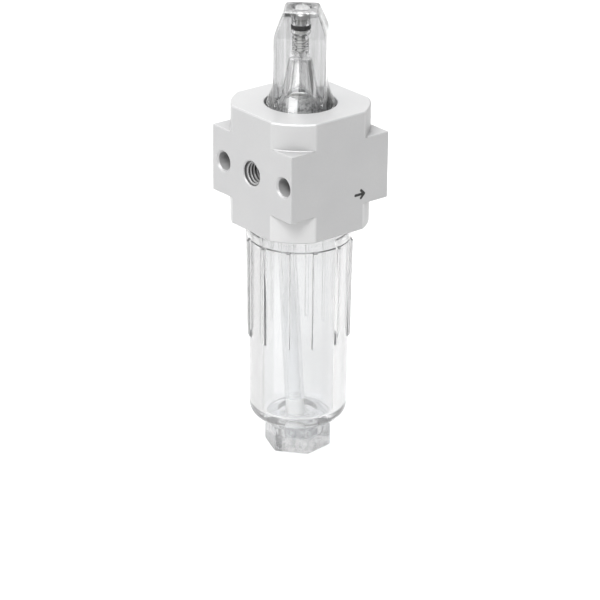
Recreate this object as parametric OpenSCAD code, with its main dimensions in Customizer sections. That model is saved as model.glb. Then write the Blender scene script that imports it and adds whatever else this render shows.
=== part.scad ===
// Miniature air line lubricator with a clear bowl and a clear sight dome.
// Origin: on the vertical axis, at the underside of the hexagonal foot.
// +X is the flow direction (inlet face at -X), -Y is the front face, +Z is up.

/* [Body block] */
// Width of the block along the flow and across it
body_w = 25; // [24.5:0.25:27]
// Diameter to which the block is turned above and below the port band
body_d = 28; // [27:0.5:30]
// Height of the block
body_h = 25; // [24.5:0.25:26]
// Height of the square port band
band_h = 14; // [12:0.5:16]
// Height of the flow axis above the underside of the foot
port_z = 62.25; // [62:0.25:66]
// Broken edge round the block
edge = 0.25; // [0.1:0.05:0.4]

/* [Ports and mounting holes] */
// Radius of the port thread at its root
port_r = 2.5; // [2.4:0.05:2.6]
// Depth of the port thread
port_depth = 6; // [5:0.25:6.5]
// Countersink at the mouth of a port, added to its radius
port_sink = 0.3; // [0.1:0.05:0.5]
// Radius of the flow passage behind the thread
passage_r = 1.6; // [1.3:0.1:1.7]
// Radius of the two mounting holes
mount_r = 1.9; // [1.6:0.05:1.95]
// Distance of the rear mounting hole from the axis
mount_rear = 9; // [8.75:0.25:9.5]
// Distance of the front mounting hole from the axis
mount_front = 10; // [9:0.25:10]
// Countersink at the mouth of a mounting hole
mount_sink = 0.4; // [0.1:0.05:0.4]

/* [Sight dome] */
// Width across the flats of the dome
dome_af = 10.4; // [10:0.1:10.8]
// Turned position of the dome's flats
dome_turn = 46.7; // [0:0.1:90]
// Height of the dome's top above the flow axis
dome_top = 32.15; // [31.9:0.05:32.4]
// Height at which the dome's flats begin to slope, above the flow axis
dome_shoulder = 27.3; // [27:0.1:28.5]
// Width across the flats at the dome's top
dome_top_af = 6.6; // [6:0.1:7]
// Radius of the dome's flange
dome_flange_r = 7.2; // [7:0.05:7.25]
// Height above the flow axis at which the foot of the dome begins to flare
flare_z = 19.84; // [19:0.1:20.5]
// Radius of the drip chamber at its ceiling
bell_top_r = 2.35; // [2:0.05:2.6]
// Radius of the drip chamber at its mouth
bell_r = 4.1; // [4.05:0.05:4.2]
// Height of the drip chamber's ceiling above the flow axis
bell_z = 22.3; // [21:0.1:22.4]

/* [Adjusting screw] */
// Radius of the screw's head
screw_head_r = 1.93; // [1.9:0.01:1.95]
// Radius of the screw's stem at the root of its thread
screw_stem_r = 1.45; // [1.3:0.05:1.5]
// Height of the screw's top above the flow axis, closed
screw_top = 30.9; // [30.2:0.1:31]
// Width of the screwdriver slot
slot_w = 0.55; // [0.4:0.05:0.7]
// Depth of the screwdriver slot
slot_d = 0.8; // [0.5:0.1:1]

/* [Bowl] */
// Radius of the smooth collar under the block
collar_r = 10.6; // [10.5:0.05:10.8]
// Radius of the bowl's wall under the collar
bowl_r = 10.42; // [10.2:0.02:10.5]
// Radius of the bowl's wall at its foot
bowl_foot_r = 10.05; // [9.8:0.05:10.2]
// Outer rounding between the wall and the bottom
bowl_round = 3; // [2.5:0.25:3.5]
// Inside radius of the bowl at the top
bowl_in_r = 7.45; // [7.4:0.05:7.6]
// Inside radius of the bowl at the floor
bowl_floor_r = 7.3; // [7.2:0.05:7.4]
// Number of upright ribs round the bowl
ribs = 12; // [6:1:16]
// Width of a rib
rib_w = 0.9; // [0.6:0.1:1.2]
// How far a rib stands out from the wall at its top
rib_out = 0.66; // [0.4:0.02:0.8]
// Turned position of the ribs and of the foot
bowl_turn = 8.4; // [0:0.1:30]
// Width across the flats of the foot
foot_af = 12; // [11:0.25:12.5]
// Radius of the well in the foot
well_r = 4; // [3.5:0.1:4.3]

/* [Siphon] */
// Radius of the siphon tube
tube_r = 2; // [1.8:0.05:2.1]
// Bore radius of the siphon tube
tube_bore = 1.2; // [1.18:0.02:1.3]
// Radius of the suction filter
filter_r = 1.9; // [1.7:0.05:1.9]

/* [Hidden] */
$fn = 96;
e = 0.02;
// levels below are heights above the flow axis; lift() brings them to the part's frame
socket_r = 9.98;
socket_top = -5.6;
core_r = 4.2;
upper_r = 6.45;
upper_floor = 4.2;
counter_r = 7.32;
counter_floor = 10.2;
dome_bottom = 5;
flange_z = 11.25;
thread_bore_r = 1.75;
head_bore_r = 2;
head_bore_z = 26.8;
stem_z = 23.6;
seal_z = 28.1;
flange_r = 7;
flange_low = -10;
throat_r = 1;
chamber_r = 1.8;
seat_x = -0.2;
flap_x = 0.21;
flap_z = 1.2;
siphon_y = 5;
oil_y = 2.7;
ball_r = 0.75;
screw_x = 5.45;
bowl_top = -6.9;
collar_low = -15.7;
wall_low = -52.85;
bowl_bottom = -55.85;
floor_z = -53.8;
well_z = -60;
foot_top = -57;
foot_low = -port_z;
tube_top = -10.3;
lean = 5.4;
lean_len = 41.9;
neck_r = 9.1;
apothem = dome_af / 2;
dome_corner_r = 7.12;
flare_in = apothem - 0.06;
flare_rho = ((flare_z - 12) * (flare_z - 12) + (dome_flange_r - flare_in) * (dome_flange_r - flare_in)) / (2 * (dome_flange_r - flare_in));
flare_a = asin((flare_z - 12) / flare_rho);

// raises a shape from heights above the flow axis to the part's frame
module lift(z = 0) { translate([0, 0, port_z + z]) children(); }

// a straight round bar between two heights, at a place across the axis
module bar(r, z0, z1, x = 0, y = 0) { translate([x, y, port_z + z0]) cylinder(r = r, h = z1 - z0); }

// a round bar along X
module bar_x(r, x0, x1, y = 0, z = 0) { translate([x0, y, port_z + z]) rotate([0, 90, 0]) cylinder(r = r, h = x1 - x0); }

// a cone along X
module cone_x(r0, r1, x0, x1, y = 0, z = 0) { translate([x0, y, port_z + z]) rotate([0, 90, 0]) cylinder(r1 = r0, r2 = r1, h = x1 - x0); }

// a round bar along Y
module bar_y(r, y0, y1, x = 0, z = 0) { translate([x, y1, port_z + z]) rotate([90, 0, 0]) cylinder(r = r, h = y1 - y0); }

// an O-ring lying level
module ring(rc, rt, z) { lift(z) rotate_extrude() translate([rc, 0]) circle(r = rt, $fn = 32); }

// a box with all twelve edges broken, centred
module broken_box(w, d, h, c) {
    intersection() {
        translate([0, 0, -h / 2]) linear_extrude(h) polygon(cut_square(w, d, c));
        rotate([90, 0, 0]) translate([0, 0, -d / 2]) linear_extrude(d) polygon(cut_square(w, h, c));
        rotate([90, 0, 90]) translate([0, 0, -w / 2]) linear_extrude(w) polygon(cut_square(d, h, c));
    }
}
function cut_square(a, b, c) = [
    [a / 2 - c, -b / 2], [a / 2, -b / 2 + c], [a / 2, b / 2 - c], [a / 2 - c, b / 2],
    [-a / 2 + c, b / 2], [-a / 2, b / 2 - c], [-a / 2, -b / 2 + c], [-a / 2 + c, -b / 2]];

// the milled and turned block: square port band, flats cut round above and below
module body() {
    color([0.86, 0.86, 0.87]) difference() {
        union() {
            lift() broken_box(body_w, body_w, band_h, edge * 0.6);
            lift() intersection() {
                broken_box(body_w, body_w, body_h, edge);
                rotate_extrude($fn = 160) polygon([
                    [0, -body_h / 2], [body_d / 2 - edge, -body_h / 2], [body_d / 2, -body_h / 2 + edge],
                    [body_d / 2, body_h / 2 - edge], [body_d / 2 - edge, body_h / 2], [0, body_h / 2]]);
            }
        }
        // socket for the bowl, with an eased mouth
        bar(socket_r, -body_h / 2 - 1, socket_top);
        lift(-body_h / 2 - e) cylinder(r1 = socket_r + 0.3, r2 = socket_r - e, h = 0.3 + 2 * e);
        // bore for the insert
        bar(core_r, socket_top - 1, upper_floor + 1);
        // threaded bore and counterbore for the dome
        bar(upper_r, upper_floor, body_h / 2);
        bar(counter_r, counter_floor, body_h / 2 + 1);
        lift(body_h / 2 - 0.15) cylinder(r1 = counter_r - e, r2 = counter_r + 0.15, h = 0.15 + e);
        // inlet and outlet
        for (s = [0, 180]) rotate([0, 0, s]) {
            bar_x(port_r, -body_w / 2 - 1, -body_w / 2 + port_depth);
            cone_x(port_r, passage_r, -body_w / 2 + port_depth - e, -body_w / 2 + port_depth + 0.5);
            cone_x(port_r + port_sink + e, port_r, -body_w / 2 - e, -body_w / 2 + port_sink);
            bar_x(passage_r, -body_w / 2 + 2, -core_r + 0.5);
        }
        // mounting holes right through, along the flow
        for (y = [mount_rear, -mount_front]) {
            bar_x(mount_r, -body_w, body_w, y);
            cone_x(mount_r + mount_sink + e, mount_r, -body_w / 2 - e, -body_w / 2 + mount_sink, y);
            cone_x(mount_r, mount_r + mount_sink + e, body_w / 2 - mount_sink, body_w / 2 + e, y);
        }
        // tapped holes for the insert's screws
        for (x = [-screw_x, screw_x]) bar(0.62, socket_top - 1, -3.2, x);
    }
}

// clear square dome with a tapered top and a flared round foot
module sight_dome() {
    color([0.86, 0.9, 0.93, 0.45]) difference() {
        union() {
            intersection() {
                rotate([0, 0, dome_turn]) difference() {
                    translate([-apothem, -apothem, port_z + flange_z]) cube([dome_af, dome_af, dome_top - flange_z]);
                    for (k = [0:3]) rotate([0, 0, 90 * k])
                        translate([apothem, 0, port_z + dome_shoulder])
                            rotate([0, -atan((apothem - dome_top_af / 2) / (dome_top - dome_shoulder)), 0])
                                translate([0, -8, -0.2]) cube([6, 16, 12]);
                }
                bar(dome_corner_r, flange_z - 1, dome_top + 1);
            }
            // flared foot and flange
            lift() rotate_extrude() polygon(concat(
                [[0, flange_z], [dome_flange_r, flange_z]],
                [for (i = [0:20]) let (a = flare_a * (1 - i / 20))
                    [flare_in + flare_rho * (1 - cos(a)), flare_z - flare_rho * sin(a)]],
                [[0, flare_z]]));
            bar(6.2, 9.7, flange_z + 0.1);
            bar(6.35, dome_bottom, 9.8);
        }
        // screw bore from the top
        bar(head_bore_r, head_bore_z, dome_top + 1);
        lift(dome_top - 0.15) cylinder(r1 = head_bore_r - e, r2 = head_bore_r + 0.2, h = 0.2);
        bar(thread_bore_r, 22.9, head_bore_z + 0.5);
        // hole for the nozzle
        bar(0.5, bell_z - 0.5, 23);
        // drip chamber
        lift(12.5) cylinder(r1 = bell_r, r2 = bell_top_r, h = bell_z - 12.5);
        bar(bell_r, dome_bottom - 1, 12.5 + e);
        // oil passage up the rear wall to the screw's stem
        rotate([0, 0, dome_turn]) {
            bar(0.4, dome_bottom - 1, 13.2, 5.15);
            translate([5.15, 0, port_z + 13]) rotate([0, -11.3, 0]) translate([0, 0, -0.25]) cylinder(r = 0.34, h = 10.7);
            bar_x(0.4, 1, 3.5, 0, 23.45);
        }
    }
}

// a hexagonal bar
module bar_hex(r, z0, z1) { lift(z0) cylinder(r = r, h = z1 - z0, $fn = 6); }

// O-ring under the dome's flange
module dome_seal() { color([0.09, 0.09, 0.09]) ring(6.76, 0.5, 10.72); }

// slotted adjusting screw with a needle point and a seal groove
module adjusting_screw() {
    color([0.75, 0.75, 0.73]) lift() difference() {
        rotate_extrude() polygon([
            [0, 22.86], [0.18, 22.86], [0.95, 23.3], [screw_stem_r - 0.15, stem_z], [screw_stem_r, stem_z + 0.15],
            [screw_stem_r, 26.5], [1.3, 26.7], [1.3, 26.9], [screw_head_r, 26.9], [screw_head_r, seal_z - 0.55],
            [1, seal_z - 0.55], [1, seal_z + 0.55], [screw_head_r, seal_z + 0.55],
            [screw_head_r, screw_top - 0.2], [screw_head_r - 0.2, screw_top], [0, screw_top]]);
        translate([-3, -slot_w / 2, screw_top - slot_d]) cube([6, slot_w, 2]);
    }
}

// black O-ring of the adjusting screw
module adjusting_screw_seal() { color([0.04, 0.04, 0.04]) ring(1.5, 0.48, seal_z); }

// thin nozzle that lets the drops fall
module drip_nozzle() {
    color([0.55, 0.55, 0.54]) difference() {
        bar(0.49, 19.1, 22.8);
        bar(0.2, 18.5, 24);
    }
}

// the insert that carries the venturi, the oil passages and the drip funnel with its high collar
module venturi_insert() {
    color([0.8, 0.8, 0.78]) difference() {
        lift() rotate_extrude() polygon([
            [0, flange_low], [flange_r - 0.2, flange_low], [flange_r, flange_low + 0.2], [flange_r, socket_top],
            [4.15, socket_top], [4.15, -5.05], [3.38, -5.05], [3.38, -4.15], [4.15, -4.15],
            [4.15, 2.75], [3.38, 2.75], [3.38, 3.65], [4.15, 3.65], [4.15, upper_floor], [3.95, upper_floor],
            [3.95, 5.35], [3.3, 5.35], [3.3, 6.15], [3.95, 6.15], [3.95, 12.25], [3.8, 12.45], [3.8, 12.9],
            [3.65, 13.05], [3.4, 12.8], [3.1, 6.7], [1.2, 4.6], [0, 4.6]]);
        // flow passage, throat and flap chamber
        lift() rotate([0, 90, 0]) rotate_extrude() polygon([
            [0, -6], [passage_r, -6], [passage_r, -2.2], [throat_r, -1.2], [throat_r, seat_x], [chamber_r, seat_x],
            [chamber_r, 6], [0, 6]]);
        // hole from the funnel to the throat
        bar(0.35, 0.7, 5, -0.7);
        // hole that brings the air pressure to the bowl
        bar(0.36, flange_low - 1, -1.2, -2.75);
        // upright oil hole and its exit above the block's floor
        bar(0.4, flange_low - 1, 5.1, 0, oil_y);
        bar_y(0.3, oil_y - 0.1, 5, 0, 4.6);
        // cross hole from the ball chamber
        bar_y(0.34, oil_y - 0.1, 8, 0, -6.85);
        // ball chamber and socket of the nipple
        bar(1, -8.5, -6.35, 0, siphon_y);
        bar(1.4, flange_low - 1, -8.4, 0, siphon_y);
        // screw holes
        for (x = [-screw_x, screw_x]) {
            bar(0.75, flange_low - 1, socket_top + 1, x);
            bar(1.25, flange_low - 1, -8.6, x);
        }
        // hole of the flap's pin
        bar_y(0.21, -6, 2, flap_x, flap_z);
    }
}

module insert_seal_upper() { color([0.09, 0.09, 0.09]) ring(3.79, 0.39, 3.2); }
module insert_seal_lower() { color([0.09, 0.09, 0.09]) ring(3.79, 0.39, -4.6); }
module collar_seal() { color([0.09, 0.09, 0.09]) ring(3.7, 0.37, 5.75); }

// two small screws that hold the insert to the block
module insert_screws() {
    color([0.7, 0.7, 0.7]) for (x = [-screw_x, screw_x]) difference() {
        union() {
            bar(0.6, -8.7, -3.4, x);
            bar(1.12, -9.8, -8.62, x);
        }
        translate([x - 2, -0.15, port_z - 10]) cube([4, 0.3, 0.6]);
    }
}

// hinged flap behind the throat
module air_flap() {
    color([0.2, 0.2, 0.2]) difference() {
        union() {
            bar_x(1.3, seat_x + 0.03, seat_x + 0.18);
            bar_y(0.38, -0.8, 0.8, flap_x, flap_z);
        }
        bar_y(0.25, -2, 2, flap_x, flap_z);
    }
}

// pin of the flap
module flap_pin() { color([0.75, 0.75, 0.75]) bar_y(0.2, -3.9, 1.95, flap_x, flap_z); }

// ball that keeps the oil from running back
module check_ball() { color([0.78, 0.78, 0.8]) translate([0, siphon_y, port_z - 7.83]) sphere(r = ball_r, $fn = 48); }

// nipple with the ball's seat above and a leaning barb below, that the siphon tube is pushed over
module siphon_nipple() {
    color([0.8, 0.8, 0.78]) difference() {
        union() {
            bar(1.38, -10.1, -8.42, 0, siphon_y);
            lean_on(-0.5) rotate_extrude($fn = 48) polygon([
                [0, 0], [1.0, 0], [1.0, 1.2], [1.15, 1.25], [1.02, 1.9], [1.15, 1.95], [0.85, 2.6], [0, 2.6]]);
        }
        bar(0.5, -10.9, -8, 0, siphon_y);
        lean_on(0.25) cylinder(r = 0.46, h = 4);
    }
}

// pins that close the drilled oil holes
module channel_plugs() {
    color([0.72, 0.72, 0.7]) {
        bar_y(0.33, 6.15, 6.9, 0, -6.85);
        bar(0.39, -9.9, -9.05, 0, oil_y);
    }
}

// translucent siphon tube, leaning from the nipple to the middle of the bowl
module lean_on(along = 0) {
    translate([0, siphon_y, port_z + tube_top]) rotate([180 - lean, 0, 0]) translate([0, 0, along]) children();
}
module siphon_tube() {
    color([0.93, 0.94, 0.95, 0.8]) lean_on() difference() {
        cylinder(r = tube_r, h = lean_len);
        translate([0, 0, -1]) cylinder(r = tube_bore, h = lean_len + 2);
    }
}

// porous filter in the end of the siphon tube
module siphon_filter() {
    color([0.96, 0.96, 0.95]) lean_on(lean_len) rotate_extrude($fn = 48) polygon(concat(
        [[0, -3], [tube_bore - 0.03, -3], [tube_bore - 0.03, 0.02], [filter_r, 0.02]],
        [for (i = [0:10]) [filter_r - 1 + cos(9 * i), 3.2 + sin(9 * i)]],
        [[0, 4.2]]));
}

// clear bowl in one piece: threaded neck, collar, ribbed wall, round bottom, hexagonal foot with a well
module bowl() {
    color([0.88, 0.92, 0.95, 0.4]) difference() {
        union() {
            lift() rotate_extrude($fn = 160) polygon(concat(
                [[0, bowl_top], [neck_r - 0.3, bowl_top], [neck_r, bowl_top - 0.3], [neck_r, -12.55], [collar_r - 0.1, -12.55],
                 [collar_r, -12.65], [collar_r, collar_low + 0.1], [collar_r - 0.1, collar_low], [bowl_r, collar_low]],
                [for (i = [0:12]) let (a = 7.5 * i)
                    [bowl_foot_r - bowl_round * (1 - cos(a)), wall_low - bowl_round * sin(a)]],
                [[6.6, wall_low - bowl_round], [6.6, foot_top - 0.1], [0, foot_top - 0.1]]));
            // ribs
            for (k = [0:ribs - 1]) lift() rotate([90, 0, bowl_turn + 360 / ribs * k])
                translate([0, 0, -rib_w / 2]) linear_extrude(rib_w) polygon([
                    [9.3, collar_low - 0.1], [bowl_r + rib_out - 0.2, collar_low - 0.1], [bowl_r + rib_out, collar_low - 0.45],
                    [bowl_r + rib_out - 0.33, -36.7], [bowl_r + rib_out - 0.5, -37.1], [10, -37.6], [9.3, -37.6]]);
            // hexagonal foot
            intersection() {
                rotate([0, 0, bowl_turn]) bar_hex(foot_af / 2 / cos(30), foot_low, foot_top);
                lift() rotate_extrude() polygon([
                    [0, foot_low], [foot_af / 2 + 0.65, foot_low], [foot_af / 2 + 0.85, foot_low + 0.2],
                    [foot_af / 2 + 0.85, foot_top - 0.25], [foot_af / 2 + 0.6, foot_top], [0, foot_top]]);
            }
        }
        // inside of the bowl, with a well in the foot
        lift() rotate_extrude() polygon(concat(
            [[0, bowl_top + 1], [bowl_in_r, bowl_top + 1], [bowl_in_r, bowl_top - 1]],
            [for (i = [0:8]) let (a = 11.25 * i) [bowl_floor_r - 0.8 * (1 - cos(a)), floor_z + 0.8 - 0.8 * sin(a)]],
            [[well_r + 0.3, floor_z], [well_r, floor_z - 0.3], [well_r - 0.2, well_z + 0.5], [well_r - 0.7, well_z], [0, well_z]]));
    }
}

// O-ring on the bowl's neck
module bowl_seal() { color([0.09, 0.09, 0.09]) ring(8.55, 0.62, -6.26); }

body();
sight_dome();
dome_seal();
adjusting_screw();
adjusting_screw_seal();
drip_nozzle();
venturi_insert();
insert_seal_upper();
insert_seal_lower();
collar_seal();
insert_screws();
air_flap();
flap_pin();
check_ball();
siphon_nipple();
channel_plugs();
siphon_tube();
siphon_filter();
bowl();
bowl_seal();
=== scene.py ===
import math
import bpy
import bmesh
from mathutils import Vector, Matrix


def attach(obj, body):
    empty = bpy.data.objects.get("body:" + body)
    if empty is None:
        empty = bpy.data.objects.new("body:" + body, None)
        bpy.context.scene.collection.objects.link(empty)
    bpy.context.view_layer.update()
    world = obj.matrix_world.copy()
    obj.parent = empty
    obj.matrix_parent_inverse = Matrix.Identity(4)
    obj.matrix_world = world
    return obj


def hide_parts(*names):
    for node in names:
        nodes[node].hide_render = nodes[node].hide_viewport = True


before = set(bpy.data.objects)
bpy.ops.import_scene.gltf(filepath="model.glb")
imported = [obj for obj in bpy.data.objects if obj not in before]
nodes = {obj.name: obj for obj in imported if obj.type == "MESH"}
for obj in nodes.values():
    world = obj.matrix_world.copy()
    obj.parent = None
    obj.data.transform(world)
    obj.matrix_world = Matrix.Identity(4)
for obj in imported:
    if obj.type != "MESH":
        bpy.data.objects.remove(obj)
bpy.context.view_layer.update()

scene = bpy.context.scene
MM = 0.001
PORT_Z = 62.25  # height of the flow axis, mm


# ---------------------------------------------------------------- camera
cam_data = bpy.data.cameras.new("camera")
cam = bpy.data.objects.new("camera", cam_data)
scene.collection.objects.link(cam)
scene.camera = cam
cam_data.lens = 178.65
cam_data.sensor_width = 36.0
cam_data.clip_start = 0.01
cam_data.clip_end = 100.0
eye = Vector((-0.35566, -0.43195, 0.27094))
target = Vector((0.0001976, -0.0001628, 0.031814))
turn = (target - eye).to_track_quat("-Z", "Y").to_matrix().to_4x4()
cam.matrix_world = Matrix.Translation(eye) @ turn @ Matrix.Rotation(math.radians(0.588), 4, "Z")

scene.view_settings.view_transform = "Standard"
scene.view_settings.look = "None"
scene.cycles.max_bounces = 24
scene.cycles.transmission_bounces = 24
scene.cycles.glossy_bounces = 8
scene.cycles.diffuse_bounces = 5
scene.cycles.transparent_max_bounces = 24
scene.cycles.caustics_refractive = True
scene.cycles.caustics_reflective = False
scene.cycles.sample_clamp_indirect = 6.0


# ---------------------------------------------------------------- node helpers
class Tree:
    """Short names for building a material's nodes."""

    def __init__(self, name):
        self.mat = bpy.data.materials.new(name)
        self.mat.use_nodes = True
        self.nt = self.mat.node_tree
        self.nt.nodes.clear()
        self.out = self.nt.nodes.new("ShaderNodeOutputMaterial")
        self.bsdf = self.nt.nodes.new("ShaderNodeBsdfPrincipled")
        self.nt.links.new(self.bsdf.outputs["BSDF"], self.out.inputs["Surface"])
        self.place = self.nt.nodes.new("ShaderNodeTexCoord").outputs["Object"]

    def node(self, kind, **props):
        n = self.nt.nodes.new(kind)
        for k, v in props.items():
            setattr(n, k, v)
        return n

    def link(self, a, b):
        self.nt.links.new(a, b)

    def put(self, socket, value):
        if hasattr(value, "is_linked") and hasattr(value, "node"):
            self.nt.links.new(value, socket)
        else:
            socket.default_value = value

    def set(self, **values):
        for k, v in values.items():
            self.put(self.bsdf.inputs[k.replace("_", " ")], v)

    def math(self, op, a, b=0.0, c=None, clamp=False):
        n = self.node("ShaderNodeMath", operation=op, use_clamp=clamp)
        self.put(n.inputs[0], a)
        self.put(n.inputs[1], b)
        if c is not None:
            self.put(n.inputs[2], c)
        return n.outputs[0]

    def noise(self, scale, detail=3.0, rough=0.5, vector=None, distortion=0.0):
        n = self.node("ShaderNodeTexNoise")
        self.put(n.inputs["Vector"], vector if vector is not None else self.place)
        n.inputs["Scale"].default_value = scale
        n.inputs["Detail"].default_value = detail
        n.inputs["Roughness"].default_value = rough
        n.inputs["Distortion"].default_value = distortion
        return n.outputs["Fac"]

    def stretch(self, sx, sy, sz, vector=None):
        n = self.node("ShaderNodeVectorMath", operation="MULTIPLY")
        self.put(n.inputs[0], vector if vector is not None else self.place)
        n.inputs[1].default_value = (sx, sy, sz)
        return n.outputs[0]

    def range(self, value, a, b, c, d, smooth=False):
        n = self.node("ShaderNodeMapRange", clamp=True)
        if smooth:
            n.interpolation_type = "SMOOTHSTEP"
        self.put(n.inputs["Value"], value)
        for k, v in zip(("From Min", "From Max", "To Min", "To Max"), (a, b, c, d)):
            n.inputs[k].default_value = v
        return n.outputs["Result"]

    def mix(self, fac, a, b, blend="MIX"):
        n = self.node("ShaderNodeMix", data_type="RGBA", blend_type=blend)
        self.put(n.inputs["Factor"], fac)
        self.put(n.inputs[6], a)
        self.put(n.inputs[7], b)
        return n.outputs[2]

    def bump(self, height, strength, distance, normal=None):
        n = self.node("ShaderNodeBump")
        self.put(n.inputs["Height"], height)
        n.inputs["Strength"].default_value = strength
        n.inputs["Distance"].default_value = distance
        if normal is not None:
            self.link(normal, n.inputs["Normal"])
        return n.outputs["Normal"]

    def lamps_through(self, tint=(1, 1, 1, 1)):
        """Light from lamps reaches what is behind the clear plastic."""
        path = self.node("ShaderNodeLightPath")
        clear = self.node("ShaderNodeBsdfTransparent")
        clear.inputs["Color"].default_value = tint
        m = self.node("ShaderNodeMixShader")
        self.link(path.outputs["Is Shadow Ray"], m.inputs[0])
        self.link(self.bsdf.outputs["BSDF"], m.inputs[1])
        self.link(clear.outputs["BSDF"], m.inputs[2])
        self.link(m.outputs[0], self.out.inputs["Surface"])


def grey(v, a=1.0):
    return (v, v, v, a)


# ---------------------------------------------------------------- materials
def make_aluminium():
    t = Tree("anodised_aluminium")
    big = t.noise(90.0, 4.0, 0.55)
    grain = t.noise(9000.0, 2.0, 0.6)
    fine = t.noise(3200.0, 3.0, 0.6)
    # lines left by the milling and turning tools, running round the vertical axis
    lines = t.noise(1.0, 2.0, 0.6, t.stretch(300.0, 300.0, 14000.0))
    edges = t.node("ShaderNodeBevel", samples=4)
    edges.inputs["Radius"].default_value = 0.18 * MM
    geo = t.node("ShaderNodeNewGeometry")
    dot = t.node("ShaderNodeVectorMath", operation="DOT_PRODUCT")
    t.link(edges.outputs["Normal"], dot.inputs[0])
    t.link(geo.outputs["Normal"], dot.inputs[1])
    wear = t.range(dot.outputs["Value"], 0.99, 0.85, 0.0, 1.0)
    base = t.mix(t.range(big, 0.3, 0.7, 0.0, 1.0), (0.402, 0.402, 0.405, 1), (0.432, 0.432, 0.432, 1))
    base = t.mix(t.range(grain, 0.35, 0.65, 0.0, 0.6), base, (0.38, 0.38, 0.385, 1))
    base = t.mix(t.math("MULTIPLY", wear, 0.40), base, (0.72, 0.72, 0.72, 1))
    base = arrow(t, base)
    # painted light: the turned corners above and below the square band are made paler in colour, the lower ones most,
    # where the band shades them
    x, y, r, z = polar(t)
    turned = t.math("GREATER_THAN", r, 13.85 * MM)
    base = t.mix(t.math("MULTIPLY", turned, t.range(z, 7.02 * MM, 7.06 * MM, 0.0, 0.22)), base, (0.56, 0.56, 0.56, 1))
    base = t.mix(t.math("MULTIPLY", turned, t.range(z, -7.02 * MM, -7.06 * MM, 0.0, 0.58)), base, (0.56, 0.56, 0.56, 1))
    # painted light: the top face is made paler too
    base = t.mix(t.range(z, 12.40 * MM, 12.47 * MM, 0.0, 0.20), base, (0.56, 0.56, 0.56, 1))
    # oil and shade darken the roots of the port threads
    rr = t.math("SQRT", t.math("ADD", t.math("MULTIPLY", y, y), t.math("MULTIPLY", z, z)))
    root = t.math("MULTIPLY", t.range(rr, 2.22 * MM, 2.36 * MM, 0.0, 1.0), t.math("LESS_THAN", rr, 2.56 * MM))
    root = t.math("MULTIPLY", root, t.math("LESS_THAN", t.math("ABSOLUTE", x), 12.25 * MM))
    base = t.mix(root, base, grey(0.10))
    t.set(Base_Color=base, Metallic=0.35,
          Roughness=t.range(fine, 0.3, 0.7, 0.40, 0.50))
    n = t.bump(grain, 0.20, 0.010 * MM, edges.outputs["Normal"])
    n = t.bump(lines, 0.06, 0.010 * MM, n)
    t.set(Normal=n)
    return t.mat


def arrow(t, base):
    """A printed flow arrow on the front face, pointing along +X."""
    sep = t.node("ShaderNodeSeparateXYZ")
    t.link(t.place, sep.inputs[0])
    x, y, z = sep.outputs
    cx, cz = 5.17 * MM, (PORT_Z - 4.75) * MM

    def stroke(x0, z0, x1, z1, w):
        # distance from a straight stroke between two points
        dx, dz = x1 - x0, z1 - z0
        ll = dx * dx + dz * dz
        px = t.math("SUBTRACT", x, x0)
        pz = t.math("SUBTRACT", z, z0)
        along = t.math("MULTIPLY", t.math("ADD", t.math("MULTIPLY", px, dx), t.math("MULTIPLY", pz, dz)), 1.0 / ll, clamp=True)
        qx = t.math("SUBTRACT", px, t.math("MULTIPLY", along, dx))
        qz = t.math("SUBTRACT", pz, t.math("MULTIPLY", along, dz))
        d = t.math("SQRT", t.math("ADD", t.math("MULTIPLY", qx, qx), t.math("MULTIPLY", qz, qz)))
        return t.range(d, w * 0.5 + 0.03 * MM, w * 0.5 - 0.03 * MM, 0.0, 1.0)

    w = 0.58 * MM
    a = 1.12 * MM
    h = 0.80 * MM
    s = stroke(cx - a, cz, cx + a, cz, w)
    s = t.math("MAXIMUM", s, stroke(cx + a - h, cz + h, cx + a, cz, w))
    s = t.math("MAXIMUM", s, stroke(cx + a - h, cz - h, cx + a, cz, w))
    front = t.range(y, -12.30 * MM, -12.45 * MM, 0.0, 1.0)
    patchy = t.range(t.noise(5000.0, 2.0, 0.6), 0.25, 0.5, 0.86, 1.0)
    s = t.math("MULTIPLY", t.math("MULTIPLY", s, front), patchy)
    return t.mix(s, base, grey(0.012))


def make_clear(name, tint, rough, wave_scale, wave_strength, detail=None):
    """Clear moulded plastic; detail(tree, tint) may change its colour and add haze by place."""
    t = Tree(name)
    smudge = t.noise(260.0, 4.0, 0.6)
    speck = t.noise(6000.0, 2.0, 0.5)
    wave = t.noise(wave_scale, 2.0, 0.45, t.stretch(1.0, 1.0, 0.35))
    colour = t.mix(t.range(smudge, 0.3, 0.7, 0.0, 1.0), tint, tuple(0.97 * c for c in tint[:3]) + (1,))
    through, gloss = 1.0, t.range(t.math("MULTIPLY", smudge, t.range(speck, 0.35, 0.65, 0.7, 1.0)), 0.25, 0.7, rough * 0.6, rough * 1.5)
    if detail:
        colour, through, gloss = detail(t, colour, gloss)
    t.set(Base_Color=colour, Transmission_Weight=through, IOR=1.58, Roughness=gloss)
    t.set(Normal=t.bump(wave, wave_strength, 0.05 * MM))
    t.lamps_through((0.93, 0.94, 0.95, 1))
    return t.mat


def polar(t):
    """Distance from the vertical axis, and height above the flow axis."""
    sep = t.node("ShaderNodeSeparateXYZ")
    t.link(t.place, sep.inputs[0])
    x, y, z = sep.outputs
    r = t.math("SQRT", t.math("ADD", t.math("MULTIPLY", x, x), t.math("MULTIPLY", y, y)))
    return x, y, r, t.math("SUBTRACT", z, PORT_Z * MM)


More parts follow.
